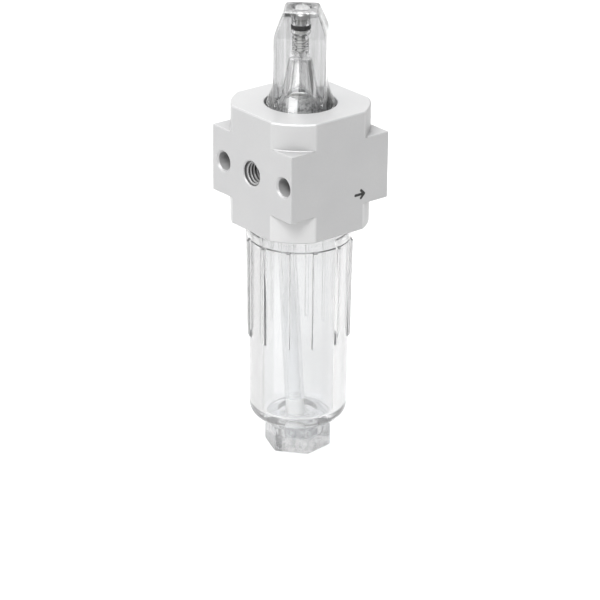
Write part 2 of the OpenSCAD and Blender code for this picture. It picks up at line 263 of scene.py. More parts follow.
def dome_detail(t, colour, gloss):
    """The dome's outside is tinted; its bores are paler, with drawing streaks, a painted highlight band and a side
    darkened by painted shade.
    """
    x, y, r, z = polar(t)
    low = t.range(z, 22.45 * MM, 22.4 * MM, 0.0, 1.0)
    limit = t.math("ADD", 2.9 * MM, t.math("MULTIPLY", low, 1.7 * MM))
    inside = t.math("LESS_THAN", r, limit)
    streak = t.noise(1.0, 3.0, 0.6, t.stretch(2600.0, 2600.0, 160.0))
    # across the front flat, in metres
    u = t.math("SUBTRACT", t.math("MULTIPLY", x, 0.772), t.math("MULTIPLY", y, 0.636))
    # painted highlight: a pale band up the bores, just left of centre, between these edges
    drop = t.math("SUBTRACT", 22.0 * MM, z)
    left = t.math("SUBTRACT", -1.95 * MM, t.math("MULTIPLY", drop, 0.06))
    right = t.math("SUBTRACT", -0.25 * MM, t.math("MULTIPLY", drop, 0.035))
    a = t.range(t.math("SUBTRACT", u, left), -0.1 * MM, 0.15 * MM, 0.0, 1.0, True)
    b = t.range(t.math("SUBTRACT", right, u), -0.1 * MM, 0.15 * MM, 0.0, 1.0, True)
    height = t.math("MULTIPLY", t.range(z, 11.0 * MM, 11.6 * MM, 0.0, 1.0), t.range(z, 22.6 * MM, 21.8 * MM, 0.0, 1.0, True))
    highlight_band = t.math("MULTIPLY", t.math("MULTIPLY", a, b), height)
    # painted shade: the bores are darker towards their right side
    shaded_side = t.range(u, -0.4 * MM, 0.3 * MM, 0.0, 1.0, True)
    inner = t.mix(t.range(streak, 0.35, 0.65, 0.0, 1.0), grey(1.0), grey(0.84))
    inner = t.mix(t.math("MULTIPLY", shaded_side, t.range(streak, 0.3, 0.7, 0.1, 0.5)), inner, grey(0.86))
    # faint upright flow lines in the moulding
    flow = t.noise(1.0, 3.0, 0.6, t.stretch(1500.0, 1500.0, 60.0))
    colour = t.mix(t.range(flow, 0.42, 0.68, 0.0, 0.55, True), colour, grey(0.30))
    colour = t.mix(t.range(flow, 0.42, 0.28, 0.0, 0.45, True), colour, grey(0.80))
    # painted shade: the flared foot is streaked dark in colour, standing in for the dark gap behind it
    veins = t.noise(1.0, 4.0, 0.7, t.stretch(1900.0, 1900.0, 240.0))
    flare = t.math("MULTIPLY", t.range(z, 18.5 * MM, 14.0 * MM, 0.0, 1.0, True), t.range(veins, 0.46, 0.62, 0.0, 0.85, True))
    flare = t.math("MULTIPLY", flare, t.range(t.math("ABSOLUTE", u), 1.4 * MM, 2.8 * MM, 0.15, 1.0, True))
    colour = t.mix(flare, colour, grey(0.10))
    colour = t.mix(inside, colour, inner)
    # painted highlight: the pale band is painted onto the bores
    colour = t.mix(t.math("MULTIPLY", highlight_band, 0.9), colour, grey(1.0))
    # painted shade: the sloped shoulders are tinted a little darker
    slope = t.math("MULTIPLY", t.range(z, 26.9 * MM, 27.6 * MM, 0.0, 1.0, True), t.range(z, 31.9 * MM, 31.4 * MM, 0.0, 1.0))
    slope = t.math("MULTIPLY", slope, t.math("SUBTRACT", 1.0, inside))
    colour = t.mix(t.math("MULTIPLY", slope, 0.15), colour, grey(0.26))
    # the tapered top is hazy from the mould
    top = t.math("MULTIPLY", t.range(z, 29.8 * MM, 32.0 * MM, 0.0, 1.0, True), t.math("SUBTRACT", 1.0, inside))
    cloud = t.noise(900.0, 4.0, 0.6)
    haze = t.math("MULTIPLY", top, t.range(cloud, 0.3, 0.7, 0.05, 0.16))
    haze = t.math("ADD", haze, 0.03)
    # painted light: the flat top is made paler in colour, and it is milky
    pale_top = t.math("MULTIPLY", t.range(z, 31.55 * MM, 31.95 * MM, 0.0, 1.0, True), t.math("SUBTRACT", 1.0, inside))
    colour = t.mix(t.math("MULTIPLY", pale_top, 0.55), colour, grey(0.72))
    haze = t.math("ADD", haze, t.math("MULTIPLY", pale_top, t.range(cloud, 0.3, 0.7, 0.03, 0.14)))
    # the lower bore is left rough by the tool; its colour is mottled dark as painted shade, with the painted highlight
    # band running through it
    edge = t.math("ADD", z, t.math("MULTIPLY", t.noise(800.0, 3.0, 0.6), 2.4 * MM))
    foot = t.math("MULTIPLY", inside, t.range(edge, 16.6 * MM, 14.6 * MM, 0.0, 1.0, True))
    mottle = t.range(t.math("ADD", t.math("MULTIPLY", t.noise(1500.0, 4.0, 0.65), 0.65), t.math("MULTIPLY", streak, 0.35)), 0.40, 0.60, 0.0, 1.0, True)
    rough = t.mix(mottle, grey(0.10), grey(0.62))
    rough = t.mix(t.math("MULTIPLY", highlight_band, 0.95), rough, grey(1.0))
    colour = t.mix(t.math("MULTIPLY", foot, 0.9), colour, rough)
    haze = t.math("ADD", haze, t.math("MULTIPLY", foot, 0.80), clamp=True)
    gloss = t.math("ADD", gloss, t.math("MULTIPLY", foot, 0.45))
    return colour, t.math("SUBTRACT", 1.0, haze), gloss


def bowl_detail(t, colour, gloss):
    """Painted shade darkens the groove under the collar in a fine dark band."""
    x, y, r, z = polar(t)
    groove_shade = t.math("MULTIPLY", t.range(z, -16.12 * MM, -16.0 * MM, 0.0, 1.0, True), t.range(z, -15.66 * MM, -15.76 * MM, 0.0, 1.0, True))
    groove_shade = t.math("MULTIPLY", groove_shade, t.math("GREATER_THAN", r, 9.5 * MM))
    colour = t.mix(t.math("MULTIPLY", groove_shade, 0.7), colour, grey(0.30))
    # painted shade: the outer wall is darker at its left and right sides, where it is seen along its length, and the
    # left side darker still against the light from the left
    u = t.math("DIVIDE", t.math("SUBTRACT", t.math("MULTIPLY", x, 0.772), t.math("MULTIPLY", y, 0.636)), r)
    outer = t.math("GREATER_THAN", r, 8.6 * MM)
    colour = t.mix(t.math("MULTIPLY", t.range(u, -0.62, -0.74, 0.0, 1.0, True), outer), colour, grey(0.56))
    colour = t.mix(t.math("MULTIPLY", t.range(u, 0.62, 0.74, 0.0, 1.0, True), outer), colour, grey(0.71))
    # the foot is thick and a little clouded
    low = t.range(z, -54.5 * MM, -57.5 * MM, 0.0, 1.0, True)
    cloud = t.noise(700.0, 4.0, 0.65)
    # painted shade: the floor inside the bowl is greyer
    bowl_floor_shade = t.math("MULTIPLY", t.range(z, -52.4 * MM, -53.6 * MM, 0.0, 1.0, True), t.math("LESS_THAN", r, 8.4 * MM))
    colour = t.mix(t.math("MULTIPLY", bowl_floor_shade, t.range(cloud, 0.35, 0.65, 0.5, 1.0)), colour, grey(0.70))
    spots = t.noise(1100.0, 4.0, 0.7)
    colour = t.mix(t.math("MULTIPLY", low, t.range(spots, 0.44, 0.60, 0.10, 1.0, True)), colour, grey(0.42))
    haze = t.math("ADD", 0.08, t.math("MULTIPLY", low, 0.08))
    return colour, t.math("SUBTRACT", 1.0, haze), gloss


def make_rubber():
    t = Tree("black_rubber")
    spot = t.noise(2500.0, 3.0, 0.6)
    t.set(Base_Color=t.mix(t.range(spot, 0.3, 0.7, 0.0, 1.0), grey(0.010), grey(0.022)),
          Roughness=t.range(spot, 0.3, 0.7, 0.42, 0.58), Specular_IOR_Level=0.10)
    t.set(Normal=t.bump(t.noise(9000.0, 2.0), 0.12, 0.01 * MM))
    return t.mat


def make_metal(name, a, b, rough_a, rough_b, metallic=1.0, stem=None):
    """Turned metal: fine rings across the axis, small tone changes."""
    t = Tree(name)
    rings = t.noise(1.0, 3.0, 0.6, t.stretch(250.0, 250.0, 12000.0))
    cloud = t.noise(420.0, 3.0, 0.55)
    colour = t.mix(t.range(cloud, 0.3, 0.7, 0.0, 1.0), a, b)
    if stem:
        # the rolled thread is speckled between the given heights; painted shade darkens its sides, leaving a painted
        # highlight down a strip just left of the axis
        x, y, r, z = polar(t)
        stem_shade = t.math("MULTIPLY", t.range(z, stem[0] * MM, (stem[0] + 0.1) * MM, 0.0, 1.0), t.range(z, stem[1] * MM, (stem[1] - 0.1) * MM, 0.0, 1.0))
        stem_shade = t.math("MULTIPLY", stem_shade, t.math("LESS_THAN", r, 1.9 * MM))
        across = t.math("SUBTRACT", t.math("MULTIPLY", x, 0.772), t.math("MULTIPLY", y, 0.636))
        highlight_distance = t.math("ABSOLUTE", t.math("ADD", across, 0.25 * MM))
        stem_shade = t.math("MULTIPLY", stem_shade, t.range(highlight_distance, 0.30 * MM, 0.65 * MM, 0.0, 1.0, True))
        speck = t.range(t.noise(2600.0, 3.0, 0.65), 0.42, 0.56, 0.0, 1.0)
        colour = t.mix(t.math("MULTIPLY", stem_shade, t.math("SUBTRACT", 1.0, speck)), colour, grey(0.07))
        # the high collar of the insert is mottled by oil, and painted shade makes the mottling darker on its right side
        rim = t.math("MULTIPLY", t.range(z, 8.5 * MM, 9.5 * MM, 0.0, 1.0), t.range(z, 13.6 * MM, 13.4 * MM, 0.0, 1.0))
        u = t.math("SUBTRACT", t.math("MULTIPLY", x, 0.772), t.math("MULTIPLY", y, 0.636))
        oil_and_shade = t.math("MULTIPLY", rim, t.range(u, -0.9 * MM, 0.2 * MM, 0.35, 1.0, True))
        oil_and_shade = t.math("MULTIPLY", oil_and_shade, t.range(t.noise(1100.0, 4.0, 0.7), 0.40, 0.60, 0.0, 1.0))
        colour = t.mix(oil_and_shade, colour, grey(0.30))
        shade = t.math("MULTIPLY", t.range(u, -0.1 * MM, 0.8 * MM, 0.0, 0.4, True), t.range(z, 22.5 * MM, 22.8 * MM, 0.0, 1.0))
        colour = t.mix(shade, colour, grey(0.24))
    t.set(Base_Color=colour, Metallic=metallic,
          Roughness=t.range(rings, 0.3, 0.7, rough_a, rough_b))
    n = t.bump(rings, 0.22, 0.01 * MM)
    if stem:
        n = t.bump(t.math("MULTIPLY", rim, t.noise(1600.0, 3.0, 0.6)), 0.8, 0.12 * MM, n)
    t.set(Normal=n)
    return t.mat


def make_tube():
    t = Tree("tube_plastic")
    cloud = t.noise(350.0, 3.0, 0.5, t.stretch(1.0, 1.0, 0.2))
    # painted light: the upper half is paler and clearer in colour, offsetting the shade under the block; the lower half
    # is milkier
    x, y, r, z = polar(t)
    upper = t.range(z, -36.0 * MM, -20.0 * MM, 0.0, 1.0, True)
    colour = t.mix(t.range(cloud, 0.3, 0.7, 0.0, 1.0), (0.80, 0.805, 0.81, 1), (0.84, 0.845, 0.845, 1))
    t.set(Base_Color=t.mix(upper, colour, (0.985, 0.985, 0.985, 1)),
          Transmission_Weight=t.math("ADD", 0.80, t.math("MULTIPLY", upper, 0.16)), IOR=1.10, Roughness=t.range(t.noise(2500.0, 2.0), 0.3, 0.7, 0.18, 0.26))
    t.set(Normal=t.bump(t.noise(1500.0, 2.0, 0.5), 0.04, 0.01 * MM))
    t.lamps_through((0.8, 0.8, 0.8, 1))
    return t.mat


def make_porous():
    t = Tree("porous_plastic")
    v = t.node("ShaderNodeTexVoronoi")
    t.link(t.place, v.inputs["Vector"])
    v.inputs["Scale"].default_value = 5200.0
    d = v.outputs["Distance"]
    t.set(Base_Color=t.mix(t.range(d, 0.1, 0.6, 0.0, 1.0), (0.93, 0.93, 0.925, 1), (0.84, 0.84, 0.835, 1)), IOR=1.3,
          Transmission_Weight=0.50,
          Roughness=t.range(d, 0.1, 0.6, 0.62, 0.8))
    t.set(Normal=t.bump(d, 0.5, 0.05 * MM))
    return t.mat


MATS = {
    "anodised_aluminium": make_aluminium(),
    "clear_dome": make_clear("clear_dome", (0.51, 0.513, 0.516, 1), 0.04, 700.0, 0.10, dome_detail),
    "clear_bowl": make_clear("clear_bowl", (0.83, 0.833, 0.836, 1), 0.05, 300.0, 0.08, bowl_detail),
    "black_rubber": make_rubber(),
    "nickel_brass": make_metal("nickel_brass", (0.82, 0.817, 0.80, 1), (0.72, 0.718, 0.705, 1), 0.26, 0.42, stem=(23.6, 26.6)),
    "steel": make_metal("steel", (0.70, 0.70, 0.71, 1), (0.60, 0.60, 0.61, 1), 0.16, 0.32),
    "tube_plastic": make_tube(),
    "porous_plastic": make_porous(),
}
CAD_SLOTS = {
    "body": "anodised_aluminium", "dome_seal": "black_rubber", "adjusting_screw": "nickel_brass",
    "adjusting_screw_seal": "black_rubber", "drip_nozzle": "steel", "venturi_insert": "nickel_brass",
    "insert_seal_upper": "black_rubber", "insert_seal_lower": "black_rubber", "collar_seal": "black_rubber",
    "insert_screws": "steel", "air_flap": "black_rubber", "flap_pin": "steel", "check_ball": "steel",
    "siphon_nipple": "nickel_brass", "channel_plugs": "steel", "siphon_tube": "tube_plastic",
    "siphon_filter": "porous_plastic", "bowl_seal": "black_rubber",
}
for name, slot in CAD_SLOTS.items():
    ob = nodes[name]
    if not ob.material_slots:
        ob.data.materials.append(MATS[slot])
    for s in ob.material_slots:
        s.material = MATS[slot]


# ---------------------------------------------------------------- mesh helpers
def add_piece(name, verts, faces, body, slot, smooth_angle=40.0):
    """A closed mesh in millimetres above the foot, as an object that rides on a body."""
    me = bpy.data.meshes.new(name)
    me.from_pydata([(x * MM, y * MM, z * MM) for x, y, z in verts], [], faces)
    bm = bmesh.new()
    bm.from_mesh(me)
    bmesh.ops.remove_doubles(bm, verts=bm.verts, dist=1e-7)
    bmesh.ops.recalc_face_normals(bm, faces=bm.faces)
    bm.to_mesh(me)
    bm.free()
    me.polygons.foreach_set("use_smooth", [True] * len(me.polygons))
    me.set_sharp_from_angle(angle=math.radians(smooth_angle))
    me.materials.append(MATS[slot])
    ob = bpy.data.objects.new(name, me)
    scene.collection.objects.link(ob)
    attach(ob, body)
    return ob


def skin(rings, ends):
    """Quads between rings of equal length; ends is "poles" (closed by a point) or "loop" (last ring joins the first)."""
    n = len(rings[0])
    verts = [v for r in rings for v in r]
    faces = []
    last = len(rings) if ends == "loop" else len(rings) - 1
    for i in range(last):
        a, b = i * n, ((i + 1) % len(rings)) * n
        for j in range(n):
            k = (j + 1) % n
            faces.append((a + j, a + k, b + k, b + j))
    if ends == "poles":
        for i, flip in ((0, True), (len(rings) - 1, False)):
            c = len(verts)
            ring = rings[i]
            verts.append(tuple(sum(v[q] for v in ring) / n for q in range(3)))
            for j in range(n):
                k = (j + 1) % n
                a, b = i * n + j, i * n + k
                faces.append((c, b, a) if flip else (c, a, b))
    return verts, faces


def smooth_max(a, b, k):
    h = max(k - abs(a - b), 0.0) / k
    return max(a, b) + h * h * k * 0.25


def smooth_min(a, b, k):
    return -smooth_max(-a, -b, k)


def poly_r(psi, apothem, corner, half):
    """Radius of a rounded regular polygon at angle psi (degrees) from its nearest corner; half is half of a side's angle."""
    p, half = math.radians(abs(psi)), math.radians(half)
    d = (apothem - corner) / math.cos(half)
    s = d * math.sin(p)
    if s < corner:
        r = d * math.cos(p) + math.sqrt(corner * corner - s * s)
        # the arc holds only up to the flat
        if r * math.cos(p) - d >= corner * math.cos(half) - 1e-9:
            return r
    return apothem / math.cos(half - p)


def hex_r(psi, apothem, corner):
    return poly_r(psi, apothem, corner, 30)


def ridge(name, r_base, r_tip, pitch, z0, z1, base_w, tip_w, body, slot, to_world, steps=48, fade=0.6):
    """A thread's ridge: a helical band from r_base to r_tip, tapering away at both ends. to_world maps (x, y, z) of the thread's own axis to the part."""
    verts, faces = [], []
    turns = (z1 - z0) / pitch
    count = int(turns * steps)
    for i in range(count + 1):
        a = 2 * math.pi * i / steps
        z = z0 + pitch * i / steps
        f = min(1.0, i / steps / fade, (count - i) / steps / fade)
        f = max(f, 0.02)
        r = r_base + (r_tip - r_base) * f
        under = r_base - (0.03 if r_tip > r_base else -0.03)
        for rr, zz in ((under, z - base_w / 2), (r, z - tip_w / 2), (r, z + tip_w / 2), (under, z + base_w / 2)):
            verts.append(to_world((rr * math.cos(a), rr * math.sin(a), zz)))
        if i:
            p, q = (i - 1) * 4, i * 4
            for j in range(4):
                k = (j + 1) % 4
                faces.append((p + j, p + k, q + k, q + j))
    faces.append((0, 1, 2, 3))
    e = count * 4
    faces.append((e + 3, e + 2, e + 1, e))
    return add_piece(name, verts, faces, body, slot, 50.0)


# ---------------------------------------------------------------- sight dome
DOME_TURN = 46.7 - 45  # direction of the square's first corner
DOME_TOP = 32.149
SHOULDER = 27.3
TOP_APOTHEM = 3.3
APOTHEM = 5.2
FLARE_Z = 19.84
FLARE_IN = APOTHEM - 0.06
RHO = ((FLARE_Z - 12) ** 2 + (7.2 - FLARE_IN) ** 2) / (2 * (7.2 - FLARE_IN))


def corner_angles(centre_step, offsets):
    """Angles round the axis, dense about each corner: (angle, angle from the corner)."""
    out = []
    half = centre_step / 2
    offs = sorted(set([-o for o in offsets if 0 < o <= half] + [o for o in offsets if o < half]))
    for k in range(int(360 / centre_step)):
        for o in offs:
            out.append((k * centre_step + o, o))
    return out


def make_dome():
    marks = corner_angles(90, [0, 0.6, 1.2, 1.8, 2.4, 3.0, 3.8, 5, 7, 9.5, 12.5, 16, 20, 24, 28, 32, 36, 40.5, 45])

    def flare(z):
        if z >= FLARE_Z:
            return FLARE_IN - (z - FLARE_Z) ** 2 / 8
        return FLARE_IN + RHO - math.sqrt(RHO * RHO - (FLARE_Z - z) ** 2)

    def apothem(z):
        slope = APOTHEM + (SHOULDER - z) * (APOTHEM - TOP_APOTHEM) / (DOME_TOP - SHOULDER)
        return smooth_min(APOTHEM, slope, 0.4)

    def ring(z, radius):
        out = []
        for phi, psi in marks:
            a = math.radians(phi + DOME_TURN)
            r = radius(psi) if callable(radius) else radius
            out.append((r * math.cos(a), r * math.sin(a), z + PORT_Z))
        return out

    rings = []

    def level(z, r):
        rings.append(ring(z, r))

    # spigot with its thread, drawn from the bottom up
    level(5.0, 6.05)
    z = 5.25
    while z < 9.6:
        fade = min(1.0, (z - 5.25) / 0.8, (9.6 - z) / 0.8)
        row = []
        for phi, psi in marks:
            t = ((z - 1.0 * phi / 360) / 1.0) % 1.0
            tri = abs(2 * t - 1)
            r = 6.35 - 0.42 * max(0.0, min(1.0, tri * 1.5 - 0.25)) * fade
            a = math.radians(phi + DOME_TURN)
            row.append((r * math.cos(a), r * math.sin(a), z + PORT_Z))
        rings.append(row)
        z += 0.125
    level(9.75, 6.3)
    level(9.85, 6.2)
    level(11.15, 6.2)
    level(11.25, 6.28)
    for r in (6.6, 7.0, 7.1):
        level(11.25, r)
    level(11.28, 7.17)
    level(11.35, 7.2)
    level(11.6, 7.2)
    level(11.9, 7.2)
    level(12.0, 7.18)
    # flare into the square
    def square(psi, a):
        return poly_r(psi, a, 0.55, 45)

    z = 12.1
    while z < 20.9:
        level(z, lambda psi, z=z: min(7.2, smooth_max(square(psi, APOTHEM), flare(z), 0.22)))
        z += 0.25
    for z in (21.2, 22, 23, 24, 25, 26, 26.6):
        level(z, lambda psi, z=z: square(psi, apothem(z)))
    z = 26.8
    while z < 27.85:
        level(z, lambda psi, z=z: square(psi, apothem(z)))
        z += 0.08
    for z in (28.2, 28.7, 29.2, 29.8, 30.4, 31.0, 31.4):
        level(z, lambda psi, z=z: square(psi, apothem(z)))
    z_edge = 31.6
    a_edge = apothem(z_edge)
    for i in range(0, 7):
        s = math.radians(15 * i)
        level(z_edge + 0.55 * math.sin(s), lambda psi, s=s: square(psi, a_edge - 0.12 * math.sin(s) - 0.55 * (1 - math.cos(s))))
    # top rim, bore, ledge
    level(DOME_TOP, 2.6)
    level(DOME_TOP, 2.24)
    level(DOME_TOP - 0.02, 2.14)
    level(DOME_TOP - 0.1, 2.05)
    level(DOME_TOP - 0.25, 2.0)
    for z in (31.0, 30.0):
        level(z, 2.0)
    # pressed against the O-ring, over the height that it travels
    for z, r in ((29.78, 2.0), (29.72, 1.96), (29.66, 1.945), (28.6, 1.945), (28.1, 1.945), (27.6, 1.945), (27.54, 1.96), (27.48, 2.0), (27.2, 2.0)):
        level(z, r)
    level(26.9, 2.0)
    level(26.8, 1.95)
    level(26.78, 1.82)
    level(26.7, 1.72)
    level(26.5, 1.66)
    for z in (25.8, 25.0, 24.2, 23.8):
        level(z, 1.66)
    level(23.6, 1.72)
    level(23.0, 1.75)
    level(22.9, 1.65)
    level(22.88, 1.0)
    level(22.88, 0.55)
    level(22.8, 0.5)
    level(22.6, 0.5)
    level(22.4, 0.5)
    # drip chamber, from its ceiling down
    level(22.28, 0.55)
    level(22.3, 0.9)
    level(22.3, 1.6)
    level(22.28, 2.1)
    level(22.2, 2.28)
    level(22.0, 2.38)
    z = 21.6
    while z > 12.6:
        level(z, 4.1 - (4.1 - 2.35) * (z - 12.5) / 9.8)
        z -= 0.6
    for z in (12.5, 12.1, 11.0, 9.5, 8.0, 6.5, 5.3):
        level(z, 4.1)
    level(5.02, 4.2)
    level(5.0, 4.5)
    level(5.0, 5.6)
    verts, faces = skin(rings, "loop")
    # oil passage: a sealed channel up the rear wall to the screw's stem
    path = [(5.15, 5.05), (5.15, 9.0), (5.15, 13.1), (4.1, 18.3), (3.12, 23.3), (2.6, 23.45), (1.8, 23.45)]
    dirs = []
    for i in range(len(path)):
        p, q = path[max(0, i - 1)], path[min(len(path) - 1, i + 1)]
        d = (q[0] - p[0], q[1] - p[1])
        m = math.hypot(*d)
        dirs.append((d[0] / m, d[1] / m))
    tube = []
    turned = math.radians(DOME_TURN + 45)
    for (x, z), (dx, dz) in zip(path, dirs):
        row = []
        for j in range(16):
            a = 2 * math.pi * j / 16
            u, v = 0.34 * math.cos(a), 0.34 * math.sin(a)
            px, py, pz = x + u * dz, v, z - u * dx
            row.append((px * math.cos(turned) - py * math.sin(turned), px * math.sin(turned) + py * math.cos(turned), pz + PORT_Z))
        tube.append(row)
    tv, tf = skin(tube, "poles")
    ob = add_piece("sight_dome_clear", verts, faces, "block", "clear_dome", 38.0)
    # the channel is air inside the plastic, so its faces look inwards
    me = bpy.data.meshes.new("channel")
    me.from_pydata([(x * MM, y * MM, z * MM) for x, y, z in tv], [], tf)
    bm = bmesh.new()
    bm.from_mesh(me)
    bmesh.ops.recalc_face_normals(bm, faces=bm.faces)
    bmesh.ops.reverse_faces(bm, faces=bm.faces)
    for f in bm.faces:
        f.smooth = True
    bm.from_mesh(ob.data)
    bm.to_mesh(ob.data)
    bm.free()
    bpy.data.meshes.remove(me)
    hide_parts("sight_dome")
    return ob


# ---------------------------------------------------------------- bowl
BOWL_TURN = 8.4


def make_bowl():
    marks = corner_angles(30, [0, 0.6, 1.2, 1.7, 2.0, 2.25, 2.5, 2.75, 3.05, 3.5, 4.3, 5.5, 7, 9, 11, 13, 15])
    # every second corner is also a corner of the hexagonal foot
    spots = []
    for phi, psi in marks:
        p = phi % 60
        if p > 30:
            p -= 60
        spots.append((phi, psi, p))

    rings = []

    def level(z, r):
        row = []
        for phi, psi, hx in spots:
            a = math.radians(phi + BOWL_TURN)
            rr = r(psi, hx, phi) if callable(r) else r
            row.append((rr * math.cos(a), rr * math.sin(a), z + PORT_Z))
        rings.append(row)

    # inside, from the bottom of the well up to the rim
    for r in (1.2, 2.4, 3.0):
        level(-60.0, r)
    for i in range(1, 7):
        s = math.radians(15 * i)
        level(-60.0 + 0.6 * (1 - math.cos(s)), 3.2 + 0.62 * math.sin(s))
    for z in (-58.6, -57.4, -56.2, -55.2, -54.7):
        level(z, 3.82 + 0.18 * (z + 59.4) / 5.1)
    for i in range(0, 7):
        s = math.radians(15 * i)
        level(-54.25 + 0.45 * math.sin(s), 4.0 + 0.45 * (1 - math.cos(s)))
    for r in (4.9, 5.5, 6.1):
        level(-53.8, r)
    for i in range(0, 9):
        s = math.radians(11.25 * i)
        level(-53.8 + 0.9 * (1 - math.cos(s)), 6.4 + 0.9 * math.sin(s))
    z = -52.0
    while z < -8.2:
        level(z, 7.3 + 0.15 * (z + 52.9) / 45)
        z += 1.45
    level(-7.6, 7.45)
    level(-7.15, 7.47)
    level(-6.97, 7.55)
    level(-6.9, 7.72)
    level(-6.9, 8.3)
    level(-6.9, 8.75)
    level(-6.95, 8.88)
    level(-7.2, 9.1)

    # threaded neck
    z = -7.3
    while z > -12.2:
        fade = min(1.0, (-7.3 - z) / 0.9, (z + 12.2) / 0.9)

        def thread(psi, hx, phi, z=z, fade=fade):
            t = ((z - 1.5 * phi / 360) / 1.5) % 1.0
            tri = 1 - abs(2 * t - 1)
            return 9.1 + 0.8 * max(0.0, min(1.0, tri * 1.55 - 0.35)) * fade

        level(z, thread)
        z -= 0.125
    level(-12.3, 9.1)
    level(-12.5, 9.12)
    level(-12.55, 9.25)
    # collar
    level(-12.55, 10.3)
    for i in range(0, 5):
        s = math.radians(22.5 * i)
        level(-12.70 + 0.15 * math.cos(s), 10.45 + 0.15 * math.sin(s))
    for z in (-13.4, -14.2, -15.0):
        level(z, 10.6)
    for i in range(0, 5):
        s = math.radians(22.5 * i)
        level(-15.62 - 0.08 * math.sin(s), 10.52 + 0.08 * math.cos(s))

    def wall(z):
        return 10.42 + (10.05 - 10.42) * (-15.7 - z) / (52.85 - 15.7)

    def rib_top(z):
        if z > -16.15:
            s = max(0.0, min(1.0, (-15.72 - z) / 0.43))
            return 10.86 + 0.22 * math.sin(s * math.pi / 2)
        if z > -36.7:
            return 11.08 - 0.33 * (-16.15 - z) / 20.55
        if z > -37.5:
            s = (-36.7 - z) / 0.8
            return 10.75 - (10.75 - wall(z)) * (s * s * (3 - 2 * s))
        return wall(z)

    def ribbed(z):
        w, top = wall(z), rib_top(z)

        def f(psi, hx, phi):
            x = abs(math.radians(psi)) * 10.75
            s = max(0.0, min(1.0, (0.54 - x) / 0.17))
            s = s * s * (3 - 2 * s)
            crown = 1 - 0.10 * (x / 0.45) ** 2 if x < 0.45 else 0.9
            return w + (top - w) * s * crown
        return f

    for z, cut in ((-15.705, 0.0), (-15.74, 0.16), (-15.82, 0.28), (-15.92, 0.28), (-16.02, 0.16), (-16.08, 0.0), (-16.2, 0.0), (-16.5, 0.0)):
        level(z, lambda psi, hx, phi, z=z, cut=cut, f=ribbed(z): f(psi, hx, phi) - cut)
    z = -17.5
    while z > -36.4:
        level(z, ribbed(z))
        z -= 1.5
    z = -36.6
    while z > -37.65:
        level(z, ribbed(z))
        z -= 0.09
    z = -38.5
    while z > -52.6:
        level(z, wall(z))
        z -= 1.3
    for i in range(0, 17):
        s = math.radians(90 * i / 16)
        level(-52.85 - 3.0 * math.sin(s), 10.05 - 3.0 * (1 - math.cos(s)))
    level(-55.85, 6.78)
    level(-55.87, 6.66)
    level(-55.95, 6.6)
    for z in (-56.3, -56.7):
        level(z, 6.6)

    # hexagonal foot with chamfered corners
    def foot(z, r):
        def f(psi, hx, phi):
            return smooth_min(hex_r(hx, 6.0, 0.3), r, 0.10)
        level(z, f)

    level(-56.95, 6.58)
    foot(-57.02, 6.62)
    foot(-57.12, 6.75)
    foot(-57.25, 6.85)
    for z in (-57.8, -58.6, -59.4, -60.2, -61.0, -61.5):
        foot(z, 6.92)
    foot(-61.95, 6.92)
    foot(-62.1, 6.84)
    foot(-62.2, 6.74)
    level(-62.24, lambda psi, hx, phi: hex_r(hx, 5.93, 0.4))
    level(-62.25, lambda psi, hx, phi: hex_r(hx, 5.82, 0.4))
    for r in (4.2, 2.4, 1.0):
        level(-62.25, r)
    verts, faces = skin(rings, "poles")
    ob = add_piece("bowl_clear", verts, faces, "bowl", "clear_bowl", 38.0)
    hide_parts("bowl")
    return ob


def make_seal():
    """The screw's O-ring as it sits: squeezed between its groove and the bore."""
    marks = 96
    profile = []
    for k in range(40):
        a = 2 * math.pi * k / 40
        c, d = math.cos(a), math.sin(a)
        # a rounded square section
        q = (abs(c) ** 8 + abs(d) ** 8) ** (-1 / 8)
        profile.append((1.495 + 0.48 * q * c, 28.1 + 0.54 * q * d))
    rings = []
    for j in range(marks):
        a = 2 * math.pi * j / marks
        rings.append([(r * math.cos(a), r * math.sin(a), z + PORT_Z) for r, z in profile])
    verts, faces = skin(rings, "loop")
    ob = add_piece("screw_seal_squeezed", verts, faces, "metering_screw", "black_rubber", 60.0)
    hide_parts("adjusting_screw_seal")
    return ob


def make_filter():
    """The porous tip of the siphon tube; its spigot sits in the tube's bore."""
    profile = [(0.7, -0.55), (1.0, -0.55), (1.1, -0.45), (1.15, -0.2), (1.16, 0.02), (1.5, 0.02), (1.72, 0.03), (1.84, 0.10), (1.9, 0.26)]
    profile += [(1.9, v) for v in (0.8, 1.5, 2.2, 2.8, 3.15)]
    profile += [(0.9 + math.cos(math.radians(9 * i)), 3.2 + math.sin(math.radians(9 * i))) for i in range(11)]
    lean = math.radians(5.4)
    rings = []
    for r, along in profile:
        d = 41.9 + along
        row = []
        for j in range(72):
            a = 2 * math.pi * j / 72
            x, y = r * math.cos(a), r * math.sin(a)
            row.append((x, 5.0 - math.sin(lean) * d - y * math.cos(lean), PORT_Z - 10.3 - math.cos(lean) * d + y * math.sin(lean)))
        rings.append(row)
    verts, faces = skin(rings, "poles")
    ob = add_piece("siphon_filter_tip", verts, faces, "block", "porous_plastic", 45.0)
    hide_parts("siphon_filter")
    return ob


dome = make_dome()
bowl = make_bowl()
seal = make_seal()
filter_tip = make_filter()

# ---------------------------------------------------------------- threads
for side, label in ((-1, "inlet"), (1, "outlet")):
    def port(p, side=side):
        x, y, z = p
        # the thread's own z runs inwards from the face
        return (side * (12.5 - z), y * side, x + PORT_Z)
    ridge("port_thread_" + label, 2.5, 2.12, 0.8, 0.35, 5.75, 0.70, 0.12, "block", "anodised_aluminium", port, 48, 0.35)

ridge("screw_thread", 1.45, 1.68, 0.5, 23.9, 26.4, 0.47, 0.34, "metering_screw", "nickel_brass",
      lambda p: (p[0], p[1], p[2] + PORT_Z), 40, 0.4)


